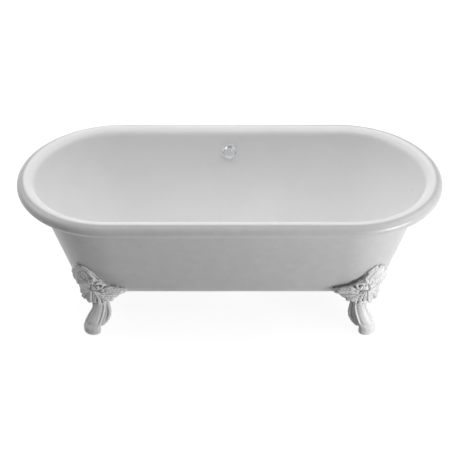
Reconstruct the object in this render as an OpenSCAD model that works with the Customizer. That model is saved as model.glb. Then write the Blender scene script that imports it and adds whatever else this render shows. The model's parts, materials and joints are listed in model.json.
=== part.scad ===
// Double-ended roll-top cast iron bath on four ornamental feet, with a pop-up waste
// that is worked by a knob on the overflow. Millimetres.
// X runs along the bath, Y runs across it towards the overflow, Z is up.
// The origin is on the floor, below the middle of the bath.

/* [Bath] */
// Overall length over the rolled rim
bath_length = 1750; // [1500:10:1900]
// Overall width over the rolled rim
bath_width = 800; // [720:10:900]
// Height of the rim above the floor
bath_height = 630; // [560:5:700]
// Height of the lowest line of the iron above the floor
underside_height = 123; // [118:1:170]
// Thickness of the enamelled iron
wall = 6.5; // [5:0.5:8]
// Lean of the walls from the vertical, in degrees
wall_lean = 15.4; // [10:0.2:18]
// Outer radius of the turn from wall to floor
bottom_radius = 90; // [80:1:110]
// Slope of the floor where it meets that turn, in degrees
floor_turn = 5; // [2:0.5:7]

/* [Rolled rim] */
// How far the rim's nose stands out from the wall, at the height of the lip
rim_reach = 72.6; // [60:0.2:85]
// Thickness of the rolled iron
rim_wall = 7; // [5:0.5:8]
// Width of the roll from its crest to its nose
nose_width = 31; // [25:0.5:36]
// Rise of the roll above the nose's widest line
rim_rise = 27; // [22:0.5:32]
// Drop of the lip below the nose's widest line
rim_drop = 29; // [24:0.5:36]
// Slope of the roll's inner side, in degrees
roll_slope = 6; // [2:1:12]
// Radius under the rim, where the wall bends out into that slope
under_rim_radius = 31; // [24:1:36]

/* [Feet] */
// Length of one unit in the tables of the feet's leaves and scrolls
leaf_unit = 1; // [0.9:0.01:1.1]
// Direction of each foot round the end of the bath, from the long axis, in degrees
foot_azimuth = 70; // [60:1:78]
// Height of the cast lug below the iron at its inner edge
lug_proud = 6; // [4:0.5:12]
// Radius of the cast lug
lug_r = 16; // [14:0.5:20]
// Distance of the lug's centre in from the widest line of the bottom turn
lug_inset = 21; // [18:0.5:26]
// Thickness of the shelf on the foot that the bolt passes through
shelf_t = 12; // [8:0.5:14]
// Gap between a foot and the bath that it hugs
foot_gap = 0.3; // [0.2:0.1:1]
// Radius of the foot bolt
bolt_r = 5; // [4:0.5:6]
// Clearance round the bolt in the foot
bolt_gap = 0.6; // [0.3:0.1:1]
// Width across the flats of the bolt's head
bolt_flats = 16; // [14:0.5:19]
// Height of the bolt's head
bolt_head_h = 6.4; // [5:0.2:8]
// Depth of thread in the lug
thread_depth = 16; // [10:1:18]
// Thickness of the washers
washer_t = 2; // [1.5:0.5:3]
// Radius of the washers
washer_r = 11; // [10:0.5:14]

/* [Waste] */
// Radius of the drain hole in the iron
drain_r = 26; // [25:0.5:30]
// Depth of the round seat sunk in the floor
seat_depth = 3; // [2:0.5:4]
// Radius of the waste flange
flange_r = 35; // [33:0.5:40]
// Thickness of the waste flange
flange_t = 2.5; // [2:0.25:4]
// Thickness of the soft ring under the flange
flange_seal_t = 1; // [0.5:0.25:2]
// Drop of the cast boss round the drain hole below the iron
drain_boss_drop = 5; // [3:0.5:8]
// Thickness of the gasket between the boss and the waste body
gasket_t = 3; // [2:0.5:4]
// Outer radius of the flange's threaded tail
tail_tube_r = 24; // [23:0.25:24.5]
// Depth of the waste body
body_depth = 37; // [36:1:46]
// Wall of the cast brass parts
brass_wall = 3.5; // [3:0.25:4]
// Lift of the plug
plug_lift = 11; // [8:0.5:12]
// Radius of the plug
plug_r = 32; // [30:0.5:33]
// Radius of the plug's stem
stem_r = 4; // [3:0.25:5]
// Radial running clearance of shafts and pins
running_gap = 0.05; // [0.02:0.01:0.1]
// Gap that is left between pieces that only rest near each other
seat_gap = 0.3; // [0.2:0.05:0.4]

/* [Overflow] */
// Drop of the overflow's centre below the rim
overflow_drop = 97; // [85:1:130]
// Radius of the overflow face plate
faceplate_r = 36; // [34:0.5:42]
// Thickness of the face plate
faceplate_t = 3; // [2.5:0.25:4]
// Radius of the control knob where it is widest
knob_r = 31; // [27:0.5:33]
// Height of the control knob
knob_h = 17; // [14:0.5:22]
// Gap that lets the water in behind the knob
intake_gap = 2.5; // [2:0.25:5]
// Radius of the knob's centre cap
cap_r = 13; // [10:0.5:15]
// Turn of the knob from shut to open, in degrees
knob_turn = 90; // [60:5:90]
// Radius of the knob's spindle
spindle_r = 4; // [3.5:0.25:5]
// Outer radius of the face plate's threaded spigot
spigot_r = 22; // [21:0.5:23]
// Space between the pipe's socket on the overflow housing and the housing's back cover
housing_back_gap = 0.5; // [0.5:0.5:8]

/* [Overflow pipe and trap] */
// Outer radius of the overflow pipe
pipe_r = 14; // [12:0.5:15]
// Wall of the overflow pipe
pipe_wall = 1.2; // [1:0.1:2]
// Radius of the pipe's bend, on its centre line
pipe_bend_r = 45; // [40:1:60]
// Radial clearance of pipes in their sockets
socket_gap = 0.15; // [0.1:0.05:0.3]
// Outer radius of the waste body's outlet tail
outlet_tail_r = 20; // [19:0.5:21]
// Radius of the trap's inlet chamber
inlet_chamber_r = 30; // [28:0.5:31]
// Radius of the trap's outlet chamber
outlet_chamber_r = 28; // [26:0.5:30]
// Distance between the two chambers
chamber_pitch = 62; // [62:1:75]
// Depth of water that the trap holds as its seal
water_seal = 20; // [14:1:22]
// Radius of the socket for the waste pipe
waste_socket_r = 20.2; // [18:0.1:21.5]
// Length of the socket for the waste pipe
waste_socket_l = 28; // [20:1:40]

/* [Control cable] */
// Radius of the cable's sheath
cable_r = 3; // [2:0.25:3.5]
// Number of clips that hold the cable to the overflow pipe
clip_count = 3; // [2:1:4]

/* [Hidden] */

enamel = "whitesmoke";
bright = "silver";
rubber = "dimgray";
brass = "goldenrod";
fine = 96;
cut = 1;

// Main lines of the bath: the end centres, the wall's line and the bottom turn
half_width = bath_width / 2;
end_x = (bath_length - bath_width) / 2;
nose_z = bath_height - rim_rise;
lip_z = nose_z - rim_drop;
nose_r = half_width - nose_width;
wall_top_r = half_width - rim_reach;
lean_tan = tan(wall_lean);
lean_cos = cos(wall_lean);
lean_sin = sin(wall_lean);
floor_edge_r = (wall_top_r + lean_tan * (underside_height + bottom_radius * cos(floor_turn) - lip_z)
    + bottom_radius * sin(floor_turn) - bottom_radius / lean_cos)
    / (1 - lean_tan * tan(floor_turn / 2));
turn_r = floor_edge_r - bottom_radius * sin(floor_turn);
turn_z = underside_height + floor_edge_r * tan(floor_turn / 2) + bottom_radius * cos(floor_turn);
dish_radius = floor_edge_r / sin(floor_turn);
dish_z = underside_height + dish_radius;
floor_z = underside_height + wall;
wall_foot_z = turn_z - bottom_radius * lean_sin;

function outer_wall_r(z) = wall_top_r - (lip_z - z) * lean_tan;
function inner_wall_r(z) = outer_wall_r(z) - wall / lean_cos;

// The roll in section: where its inner slope leaves the oval, and the bend from the wall into
// that slope, whose centre is as far from the one line as from the other
roll_turn = atan(nose_width / rim_rise * tan(roll_slope));
hollow_turn = atan((nose_width - rim_wall) / (rim_rise - rim_wall) * tan(roll_slope));
slope_start = [nose_r - nose_width * sin(roll_turn), nose_z + rim_rise * cos(roll_turn)];
flare_r = under_rim_radius + wall;
flare_slope = cos(roll_slope) * slope_start[1] - sin(roll_slope) * slope_start[0] - flare_r;
flare_wall = lean_sin * nose_z - lean_cos * inner_wall_r(nose_z) - flare_r;
flare = [flare_slope * lean_sin - flare_wall * cos(roll_slope), flare_slope * lean_cos - flare_wall * sin(roll_slope)]
    / cos(roll_slope + wall_lean);

function turn_wall_r(z) = turn_r + sqrt(max(0, pow(bottom_radius, 2) - pow(turn_z - z, 2)));
function outer_r(z) = z > wall_foot_z ? outer_wall_r(z) : turn_wall_r(z);

function oval(centre, across, up, from, to, steps) =
    [for (i = [0 : steps]) let (a = from + (to - from) * i / steps)
        [centre[0] + across * cos(a), centre[1] + up * sin(a)]];
function arc(centre, radius, from, to, steps) = oval(centre, radius, radius, from, to, steps);

// Floor, bottom turn and wall, seen in section from the centre line outwards
function bottom_line(inset) = concat(
    arc([0, dish_z], dish_radius - inset, -90, floor_turn - 90.5, 3),
    arc([turn_r, turn_z], bottom_radius - inset, floor_turn - 90, -wall_lean, 14));

// Feet
lug_q = turn_r + bottom_radius - lug_inset;
lug_z = turn_z - sqrt(pow(bottom_radius, 2) - pow(lug_q - lug_r - turn_r, 2)) - lug_proud;
bolt_head_r = bolt_flats / sqrt(3);
bolt_seat_z = lug_z - shelf_t;
leg_height = lug_z + 10;

// Waste, from the floor of the bath downwards
seat_z = floor_z - seat_depth;
flange_z = seat_z + flange_seal_t;
flange_top_z = flange_z + flange_t;
drain_boss_z = underside_height - drain_boss_drop;
body_top_z = drain_boss_z - gasket_t;
body_z = body_top_z - body_depth;
body_r = tail_tube_r + 2 + brass_wall + 1.5;
body_bore_r = body_r - brass_wall - 1.5;
body_flange_r = body_r + 7;
body_flange_t = 3;
flange_tail_z = body_top_z - 10;
pipe_z = body_top_z - 23;
tail_bore_r = tail_tube_r - brass_wall - 1;
guide_z = flange_tail_z + 5;
guide_h = 10;
guide_r = stem_r + brass_wall;

// Lift lever in the waste body: its nose rises by the plug's lift and ends level with its pin
lever_arm = 18;
lever_tail = 12;
lever_t = 8;
lever_nose_r = 3;
lever_bar_h = 3.8;
lever_pin_r = 2.5;
lever_hub_r = 5;
lever_pin_x = -lever_arm;
lever_z = body_top_z - 25;
lever_swing = 2 * asin(plug_lift / 2 / lever_arm);
barrel_r = 1.5;
stem_foot_z = lever_z - plug_lift / 2 + lever_nose_r + seat_gap;
stem_foot_r = stem_r + 1.5;
stem_foot_t = 2;
gland_z = lever_z + lever_tail - 2;
gland_r = 6;
gland_flats = 12;
gland_l = 12;

// Plug: the rubber ring rests just above the flange
plug_z = flange_top_z + seat_gap;
plug_seal_t = 2;
plug_seal_in = 19;
plug_seal_out = 29;
plug_dome = 4;
plug_edge = 1.5;

// Overflow, in a frame on the inner face of the wall: Z points into the bath, Y up the wall
overflow_z = bath_height - overflow_drop;
overflow_hole_r = spigot_r + 2;
knob_base = faceplate_t + intake_gap;
face_hub_r = spindle_r + brass_wall;
spigot_end = -(wall + 14);
housing_front = -(wall + gasket_t);
housing_flange_t = 3;
housing_flange_r = overflow_hole_r + 10;
housing_r = overflow_hole_r + 3;
chamber_r = housing_r - brass_wall + 0.5;
cover_t = 3;
socket_r = pipe_r + brass_wall;
nut_r = socket_r + 2.5;
nut_corner_r = nut_r / cos(22.5);
pipe_off = -(wall + nut_corner_r + 1);
housing_back = pipe_off - socket_r - housing_back_gap - cover_t;
housing_depth = housing_front - housing_back;
journal_r = 3;
drum_r = 9.5;
drum_t = 5;
drum_z = housing_back + cover_t + 7;
crank_r = 5.2;
socket_end = housing_r + 25;
seal_t = 3;
nut_l = 16;
nut_lap = 8;
pipe_start = housing_r + 8;

// Overflow pipe, seen from the side in [y, z]: down along the wall, round a bend, then level
pipe_line_y = -pipe_off / lean_cos;
function pipe_y(z) = inner_wall_r(z) + pipe_line_y;
pipe_corner = [pipe_y(pipe_z), pipe_z];
bend_turn = 90 - wall_lean;
bend_lead = pipe_bend_r * tan(bend_turn / 2);
bend_centre = [pipe_corner[0] - bend_lead, pipe_z + pipe_bend_r];
overflow_centre = [inner_wall_r(overflow_z), overflow_z];
down_wall = [-lean_sin, -lean_cos];
off_wall = [lean_cos, -lean_sin];
pipe_top = overflow_centre - pipe_off * off_wall + pipe_start * down_wall;
bend_top = bend_centre + pipe_bend_r * off_wall;
slope_l = norm(bend_top - pipe_top);
pipe_step = 1;
pipe_socket_l = 12;
waste_socket_y = body_r + 22;
pipe_end_y = body_r + 4;

// Trap, from the outlet tail downwards
neck_top_z = body_z - 20;
neck_r = outlet_tail_r + 4;
neck_h = 12;
chamber_top_z = neck_top_z - neck_h;
trap_z = chamber_top_z - 26;
trap_wall = 3.5;
passage_z = trap_z + 20;
waste_bore_r = 18;
outlet_z = passage_z + water_seal + waste_bore_r;
outlet_chamber_top_z = outlet_z + waste_bore_r + 6;
waste_socket_in_y = outlet_chamber_r + 6;
waste_socket_out_y = waste_socket_in_y + waste_socket_l;
waste_socket_wall_r = waste_socket_r + 4.3;
clean_z = trap_z + 30;
clean_r = 12;
clean_x = chamber_pitch + outlet_chamber_r + 4;

// Control cable: points of its route beside the pipe, from the upper gland to the lower one
cable_beside = pipe_r + cable_r + 1;
clip_t = 8;

// Iron with a level section all round: two half-round ends and a straight middle
module round_ended(points) {
    for (side = [0, 1])
        mirror([side, 0, 0])
            translate([-end_x, 0, 0])
                rotate([0, 0, 90])
                    rotate_extrude(angle = 180, $fn = 180)
                        polygon(points);
    translate([-end_x, 0, 0])
        rotate([90, 0, 90])
            linear_extrude(2 * end_x)
                polygon(concat(points, [for (i = [len(points) - 1 : -1 : 0]) [-points[i][0], points[i][1]]]));
}

// Section of the whole iron with the bath filled in, rolled rim and hollow lip included
function iron_line() = concat(
    bottom_line(0),
    arc(flare, under_rim_radius, 180 - wall_lean, 90 + roll_slope, 4),
    oval([nose_r, nose_z], nose_width - rim_wall, rim_rise - rim_wall, 90 + hollow_turn, 0, 7),
    oval([nose_r, nose_z], nose_width - rim_wall, rim_drop - rim_wall, -15, -90, 5),
    oval([nose_r, nose_z], nose_width, rim_drop, -90, 0, 9),
    oval([nose_r, nose_z], nose_width, rim_rise, 10, 90, 8),
    [[0, bath_height]]);

// Section of the space inside, open at the top
function cavity_line() = concat(
    bottom_line(wall),
    arc(flare, flare_r, 180 - wall_lean, 90 + roll_slope, 5),
    oval([nose_r, nose_z], nose_width, rim_rise, 90 + roll_turn, 90, 4),
    [[nose_r, bath_height + cut], [0, bath_height + cut]]);

// Places one thing at each of the four feet
module at_foot(x_side, y_side) {
    mirror([x_side > 0 ? 1 : 0, 0, 0])
        mirror([0, y_side > 0 ? 1 : 0, 0])
            children();
}

module at_lug() {
    translate([-end_x, 0, 0])
        rotate([0, 0, 90 + foot_azimuth])
            translate([0, lug_q, 0])
                children();
}

module at_each_lug() {
    for (x_side = [-1, 1])
        for (y_side = [-1, 1])
            at_foot(x_side, y_side) at_lug() children();
}

module at_overflow() {
    translate([0, overflow_centre[0], overflow_centre[1]])
        rotate([90 - wall_lean, 0, 0])
            children();
}

module ring(outer, inner, h) {
    difference() {
        cylinder(r = outer, h = h, $fn = fine);
        translate([0, 0, -cut]) cylinder(r = inner, h = h + 2 * cut, $fn = fine);
    }
}

module tub_shell() {
    color(enamel)
    difference() {
        union() {
            round_ended(iron_line());
            at_each_lug()
                translate([0, 0, lug_z]) cylinder(r = lug_r, h = turn_z - lug_z, $fn = fine);
            translate([0, 0, drain_boss_z])
                cylinder(r = flange_r + 11, h = drain_boss_drop + wall / 2, $fn = fine);
        }
        round_ended(cavity_line());
        at_each_lug()
            translate([0, 0, lug_z - cut]) cylinder(r = bolt_r, h = thread_depth + cut, $fn = fine);
        translate([0, 0, seat_z]) cylinder(r = flange_r + 2, h = seat_depth + wall, $fn = fine);
        translate([0, 0, drain_boss_z - cut]) cylinder(r = drain_r, h = 4 * wall, $fn = fine);
        at_overflow()
            translate([0, 0, -2 * wall]) cylinder(r = overflow_hole_r, h = 4 * wall, $fn = fine);
    }
}

// Foot. In its own frame X runs round the bath towards its end, Y points out of the bath
// from the end centre, and Z is up.
function foot_turn() = foot_azimuth - 90;
function wall_place(s, z, off) = let (
        r = outer_r(z),
        straight = foot_turn() * PI / 180 * r,
        a = s > straight ? s / r * 180 / PI : foot_turn(),
        past = min(0, s - straight))
    [(r + off) * sin(a) + past * cos(a), (r + off) * cos(a) - past * sin(a), z];

module egg(place, size) {
    translate(place) scale(size) sphere(1, $fn = 12);
}

module limb(stations) {
    for (i = [0 : len(stations) - 2])
        hull() {
            egg(stations[i][0], stations[i][1]);
            egg(stations[i + 1][0], stations[i + 1][1]);
        }
}

// Stations down the leg: share of the leg's height, place across the foot, distance out from
// the lug, half width and half depth
leg_panel = [
    [1.00, -22, 57, 27, 22], [0.82, -19, 61, 29, 22], [0.66, -13, 67, 32, 23], [0.52, -6, 76, 36, 24],
    [0.36, 2, 88, 38, 25], [0.22, 6, 97, 39, 27], [0.07, 5, 97, 39, 28]
];
leg_scroll = [
    [1.00, -16, 41, 40, 14], [0.60, -16, 36, 46, 14], [0.45, -15, 40, 46, 14], [0.32, -10, 51, 42, 14],
    [0.20, -6, 66, 34, 13]
];
leg_round = 13;

// Broad leaves of the casting on the wall. Each is the hull of rounded corners: distance round
// from the foot's middle, height above the foot of the wall, stand-off from the wall and radius.
leaf_sink = 4;
wall_leaves = [
    [[6, 10, 16, 18], [10, 78, 6, 12], [50, 103, 4, 12], [52, 20, 16, 16]],
    [[44, 90, 6, 12], [80, 92, 6, 12], [84, -4, 16, 15], [44, 10, 16, 16]],
    [[74, 76, 8, 12], [106, 68, 6, 11], [108, -8, 10, 11], [78, 0, 12, 12]],
    [[98, 54, 8, 11], [128, 36, 7, 10], [122, -4, 10, 10]],
    [[118, 18, 8, 9], [150, 12, 6, 9], [130, -4, 8, 8]],
    [[10, 10, 16, 18], [8, 66, 6, 12], [-18, 32, 4, 12], [-22, -8, 16, 16]],
    [[-14, 24, 6, 12], [-42, 16, 4, 12], [-48, -26, 14, 14]],
    [[-38, 0, 6, 12], [-78, 2, 5, 10], [-70, -34, 10, 12]],
    [[-66, -14, 6, 12], [-110, -8, 6, 9], [-98, -30, 8, 10]]
];

// Skirt that hangs over the top of the leg, its shoulder towards the middle of the bath, and the
// leaf tips along its lower edge: place across the foot, distance out from the lug, height above
// the foot of the wall and radius
skirt_mass = [
    [56, 40, -34, 16], [8, 62, -34, 16], [-50, 50, -26, 16], [60, 36, -6, 16], [-56, 34, 0, 18],
    [0, 62, 6, 18], [0, 52, 50, 14]
];
skirt_shoulder = [[-50, 46, -20, 18], [-78, 26, -16, 14], [-100, 18, 2, 11], [-52, 40, 14, 15]];
tip_length = 1.3;
skirt_tips = [[52, 44, -48, 14], [26, 58, -50, 14], [-6, 64, -38, 14], [-36, 58, -34, 14], [-64, 42, -24, 14]];

module leg() {
    for (line = [leg_panel, leg_scroll])
        limb([for (s = line)
            [[s[1] * leaf_unit, lug_q + s[2] * leaf_unit, s[0] * leg_height],
             [s[3], s[4], leg_round] * leaf_unit]]);
}

module wings() {
    for (leaf = wall_leaves)
        hull()
            for (c = leaf)
                egg(wall_place(c[0] * leaf_unit, wall_foot_z + c[1] * leaf_unit, (c[2] - leaf_sink) * leaf_unit),
                    [c[3], c[3], c[3]] * leaf_unit);
}

function skirt_place(c) = [0, lug_q, wall_foot_z] + leaf_unit * [c[0], c[1], c[2]];
module skirt() {
    for (mass = [skirt_mass, skirt_shoulder])
        hull()
            for (c = mass)
                egg(skirt_place(c), [c[3], c[3], c[3]] * leaf_unit);
    for (c = skirt_tips)
        egg(skirt_place(c), [c[3], c[3], tip_length * c[3]] * leaf_unit);
}

module foot_casting() {
    difference() {
        translate([-end_x, 0, 0])
            rotate([0, 0, 90 + foot_azimuth])
                difference() {
                    union() {
                        leg();
                        skirt();
                        wings();
                        translate([-washer_r - 9, lug_q - lug_r, bolt_seat_z])
                            cube([2 * washer_r + 18, lug_r + 34, shelf_t]);
                    }
                    translate([-half_width, 0, -leg_height])
                        cube([2 * half_width, 2 * half_width, leg_height]);
                    translate([0, lug_q, bolt_seat_z - cut])
                        cylinder(r = bolt_r + bolt_gap, h = 4 * shelf_t, $fn = 32);
                    translate([0, lug_q, lug_z]) cylinder(r = lug_r + foot_gap, h = 2 * lug_r, $fn = 32);
                    translate([0, lug_q, bolt_seat_z - leg_height]) cylinder(r = washer_r + 2, h = leg_height, $fn = 32);
                }
        foot_relief();
    }
}

// The bath's outer form, grown by the gap, that each foot is cut to
module foot_relief() {
    line = concat(
        arc([0, dish_z], dish_radius + foot_gap, -90, floor_turn - 90.5, 2),
        arc([turn_r, turn_z], bottom_radius + foot_gap, floor_turn - 90, -wall_lean, 9),
        [[outer_wall_r(lip_z) + foot_gap / lean_cos, lip_z], [0, lip_z]]);
    translate([-end_x, 0, 0]) {
        rotate([0, 0, 90]) rotate_extrude(angle = 180, $fn = 150) polygon(line);
        rotate([90, 0, 90])
            linear_extrude(end_x)
                polygon(concat(line, [for (i = [len(line) - 1 : -1 : 0]) [-line[i][0], line[i][1]]]));
    }
}

module foot_front_left() { color(enamel) at_foot(-1, -1) foot_casting(); }
module foot_front_right() { color(enamel) at_foot(1, -1) foot_casting(); }
module foot_rear_left() { color(enamel) at_foot(-1, 1) foot_casting(); }
module foot_rear_right() { color(enamel) at_foot(1, 1) foot_casting(); }

module foot_bolts() {
    color(bright)
    at_each_lug() {
        translate([0, 0, bolt_seat_z - washer_t - bolt_head_h]) cylinder(r = bolt_head_r, h = bolt_head_h, $fn = 6);
        translate([0, 0, bolt_seat_z - washer_t])
            cylinder(r = bolt_r, h = washer_t + shelf_t + thread_depth - 2, $fn = fine);
    }
}

module foot_washers() {
    color(bright)
    at_each_lug()
        translate([0, 0, bolt_seat_z - washer_t]) ring(washer_r, bolt_r + bolt_gap, washer_t);
}

// Waste in the floor
module waste_flange() {
    color(bright) {
        difference() {
            union() {
                translate([0, 0, flange_z]) cylinder(r = flange_r, h = flange_t, $fn = fine);
                translate([0, 0, flange_tail_z])
                    cylinder(r = tail_tube_r, h = flange_z - flange_tail_z + cut, $fn = fine);
            }
            translate([0, 0, flange_tail_z - cut])
                cylinder(r = tail_bore_r, h = 2 * body_depth, $fn = fine);
        }
        difference() {
            union() {
                translate([0, 0, guide_z]) cylinder(r = guide_r, h = guide_h, $fn = fine);
                for (turn = [0, 120, 240])
                    rotate([0, 0, turn])
                        translate([0, -1.5, guide_z]) cube([tail_bore_r + 1, 3, guide_h]);
            }
            translate([0, 0, guide_z - cut])
                cylinder(r = stem_r + running_gap, h = guide_h + 2 * cut, $fn = fine);
        }
    }
}

module waste_flange_seal() {
    color(rubber)
    translate([0, 0, seat_z]) ring(flange_r - 1, drain_r, flange_seal_t);
}

module waste_gasket() {
    color(rubber)
    translate([0, 0, body_top_z]) ring(body_flange_r, drain_r, gasket_t);
}

module waste_body() {
    color(bright)
    difference() {
        union() {
            translate([0, 0, body_z]) cylinder(r = body_r, h = body_depth, $fn = fine);
            translate([0, 0, body_top_z - body_flange_t])
                cylinder(r = body_flange_r, h = body_flange_t, $fn = fine);
            translate([0, 0, body_z - 31]) cylinder(r = outlet_tail_r, h = 32, $fn = fine);
            translate([0, 0, pipe_z])
                rotate([-90, 0, 0]) cylinder(r = socket_r, h = waste_socket_y, $fn = fine);
            translate([0, 0, gland_z])
                rotate([0, -90, 0]) cylinder(r = gland_r + 1, h = body_r + 3, $fn = fine);
        }
        translate([0, 0, body_z + brass_wall])
            cylinder(r = body_bore_r, h = flange_tail_z - body_z - brass_wall, $fn = fine);
        translate([0, 0, flange_tail_z - cut])
            cylinder(r = tail_tube_r, h = body_depth, $fn = fine);
        translate([0, 0, body_z - 32])
            cylinder(r = outlet_tail_r - 3, h = body_depth, $fn = fine);
        translate([0, 0, pipe_z])
            rotate([-90, 0, 0]) cylinder(r = pipe_r - pipe_wall, h = waste_socket_y + cut, $fn = fine);
        translate([0, pipe_end_y, pipe_z])
            rotate([-90, 0, 0])
                cylinder(r = pipe_r + socket_gap, h = waste_socket_y, $fn = fine);
        translate([lever_pin_x, 0, lever_z])
            rotate([90, 0, 0])
                cylinder(r = lever_pin_r, h = 3 * body_r, center = true, $fn = fine);
        translate([0, 0, gland_z])
            rotate([0, -90, 0]) cylinder(r = barrel_r + 0.7, h = body_r + 4, $fn = fine);
    }
}

module lever_pin() {
    half = sqrt(pow(body_r, 2) - pow(lever_arm, 2)) - 1;
    color(brass)
    translate([lever_pin_x, 0, lever_z])
        rotate([90, 0, 0]) cylinder(r = lever_pin_r, h = 2 * half, center = true, $fn = fine);
}

// Lever in the pose with the plug down: the nose hangs half the swing below the pin
module at_lever() {
    translate([lever_pin_x, 0, lever_z]) rotate([0, lever_swing / 2, 0]) children();
}

module lift_lever() {
    color(brass)
    at_lever()
        rotate([90, 0, 0])
            difference() {
                union() {
                    cylinder(r = lever_hub_r, h = lever_t, center = true, $fn = fine);
                    translate([lever_arm, 0, 0])
                        cylinder(r = lever_nose_r, h = lever_t, center = true, $fn = fine);
                    translate([0, -lever_nose_r, -lever_t / 2]) cube([lever_arm, lever_bar_h, lever_t]);
                    translate([0, lever_tail, 0])
                        cylinder(r = barrel_r + 1.5, h = lever_t, center = true, $fn = fine);
                    translate([-2, 0, -lever_t / 2]) cube([4, lever_tail, lever_t]);
                }
                cylinder(r = lever_pin_r + running_gap, h = 2 * lever_t, center = true, $fn = fine);
                translate([0, lever_tail, 0])
                    cylinder(r = barrel_r, h = 2 * lever_t, center = true, $fn = fine);
            }
}

module cable_barrel_lower() {
    color(brass)
    at_lever()
        translate([0, 0, lever_tail])
            rotate([90, 0, 0]) cylinder(r = barrel_r, h = lever_t, center = true, $fn = fine);
}

module cable_gland(length) {
    difference() {
        union() {
            cylinder(r = gland_flats / sqrt(3), h = length / 2, $fn = 6);
            cylinder(r = gland_r - 1, h = length, $fn = fine);
        }
        translate([0, 0, -cut]) cylinder(r = barrel_r + 0.7, h = length + 2 * cut, $fn = fine);
        translate([0, 0, 3]) cylinder(r = cable_r + socket_gap, h = length, $fn = fine);
    }
}

module cable_gland_lower() {
    color(bright)
    translate([-(body_r + 3), 0, gland_z]) rotate([0, -90, 0]) cable_gland(gland_l);
}

module cable_gland_upper() {
    color(bright)
    at_overflow()
        translate([-(housing_r + 3), crank_r, drum_z + drum_t / 2]) rotate([0, -90, 0]) cable_gland(gland_l);
}

module plug_cap() {
    dome_r = (pow(plug_r, 2) + pow(plug_dome, 2)) / (2 * plug_dome);
    dome_angle = asin(plug_r / dome_r);
    color(bright)
    translate([0, 0, plug_z + plug_seal_t])
        difference() {
            rotate_extrude($fn = fine)
                polygon(concat(
                    [[0, 0], [plug_r, 0]],
                    arc([0, plug_edge + plug_dome - dome_r], dome_r, 90 - dome_angle, 90, 8)));
            translate([0, 0, -cut]) cylinder(r = stem_r - 1, h = 3 + cut, $fn = fine);
        }
}

module plug_seal() {
    color(rubber)
    translate([0, 0, plug_z]) ring(plug_seal_out, plug_seal_in, plug_seal_t);
}

module plug_stem() {
    color(brass) {
        translate([0, 0, stem_foot_z]) cylinder(r = stem_foot_r, h = stem_foot_t, $fn = fine);
        translate([0, 0, stem_foot_z + stem_foot_t])
            cylinder(r = stem_r, h = plug_z + plug_seal_t - stem_foot_z - stem_foot_t, $fn = fine);
        translate([0, 0, plug_z]) cylinder(r = stem_r - 1, h = plug_seal_t + 3, $fn = fine);
        translate([0, 0, plug_z]) cylinder(r = plug_seal_in, h = plug_seal_t, $fn = fine);
    }
}

// Overflow and its knob
module overflow_faceplate() {
    color(bright)
    at_overflow()
        difference() {
            union() {
                cylinder(r = faceplate_r, h = faceplate_t / 2, $fn = fine);
                translate([0, 0, faceplate_t / 2])
                    cylinder(r1 = faceplate_r, r2 = faceplate_r - 2, h = faceplate_t / 2, $fn = fine);
                translate([0, 0, faceplate_t]) cylinder(r = face_hub_r, h = intake_gap - seat_gap, $fn = fine);
                translate([0, 0, spigot_end])
                    ring(spigot_r, spigot_r - brass_wall, -spigot_end + cut);
            }
            translate([0, 0, -cut])
                cylinder(r = spindle_r + running_gap, h = faceplate_t + intake_gap + cut, $fn = fine);
            for (turn = [0 : 60 : 300])
                rotate([0, 0, turn])
                    translate([spigot_r - brass_wall - 4.5, 0, -cut])
                        cylinder(r = 3.5, h = faceplate_t + 2 * cut, $fn = fine);
        }
}

// Bell-shaped side of the knob, from its wide base to its flat front
function knob_line() = concat(
    [[0, 0], [knob_r - 3, 0], [knob_r, 1.5]],
    [for (i = [0 : 6]) let (a = 90 * i / 6) [knob_r - 6 * sin(a), 3 + (knob_h - 6) * (1 - cos(a))]],
    arc([knob_r - 9, knob_h - 3], 3, 0, 90, 4),
    [[cap_r + 3, knob_h - 1], [cap_r + 0.2, knob_h - 1], [cap_r + 0.2, knob_h - 3], [0, knob_h - 3]]);

module overflow_knob() {
    color(bright)
    at_overflow()
        translate([0, 0, knob_base])
            difference() {
                rotate_extrude($fn = fine) polygon(knob_line());
                translate([0, 0, -cut]) cylinder(r = knob_r - 8, h = knob_h - 7, $fn = fine);
                translate([0, 0, -cut]) cylinder(r = 2.1, h = knob_h + cut, $fn = fine);
            }
}

module knob_cap() {
    color(bright)
    at_overflow()
        translate([0, 0, knob_base + knob_h - 3])
            difference() {
                union() {
                    cylinder(r = cap_r, h = 3, $fn = fine);
                    translate([0, 0, 3]) cylinder(r1 = cap_r, r2 = cap_r - 1.2, h = 1, $fn = fine);
                }
                translate([0, 0, -cut]) cylinder(r = 5, h = 3.2, $fn = fine);
            }
}

module knob_screw() {
    color(brass)
    at_overflow() {
        translate([0, 0, knob_base + knob_h - 3]) cylinder(r = 4, h = 2, $fn = fine);
        translate([0, 0, knob_base + knob_h - 14]) cylinder(r = 2, h = 11.5, $fn = fine);
    }
}

module knob_spindle() {
    top = knob_base + knob_h - 8;
    shoulder = drum_z + drum_t;
    color(brass)
    at_overflow()
        difference() {
            union() {
                translate([0, 0, shoulder]) cylinder(r = spindle_r, h = top - shoulder, $fn = fine);
                translate([0, 0, housing_back + 1])
                    cylinder(r = journal_r, h = shoulder - housing_back, $fn = fine);
            }
            translate([0, 0, top - 6.2]) cylinder(r = 2, h = 8, $fn = fine);
        }
}

module cable_drum() {
    color(brass)
    at_overflow()
        translate([0, 0, drum_z])
            difference() {
                cylinder(r = drum_r, h = drum_t, $fn = fine);
                translate([0, 0, -cut]) cylinder(r = journal_r, h = drum_t + 2 * cut, $fn = fine);
                translate([0, crank_r, -cut]) cylinder(r = barrel_r, h = drum_t + 2 * cut, $fn = fine);
            }
}

module cable_barrel_upper() {
    color(brass)
    at_overflow()
        translate([0, crank_r, drum_z]) cylinder(r = barrel_r, h = drum_t, $fn = fine);
}

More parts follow.
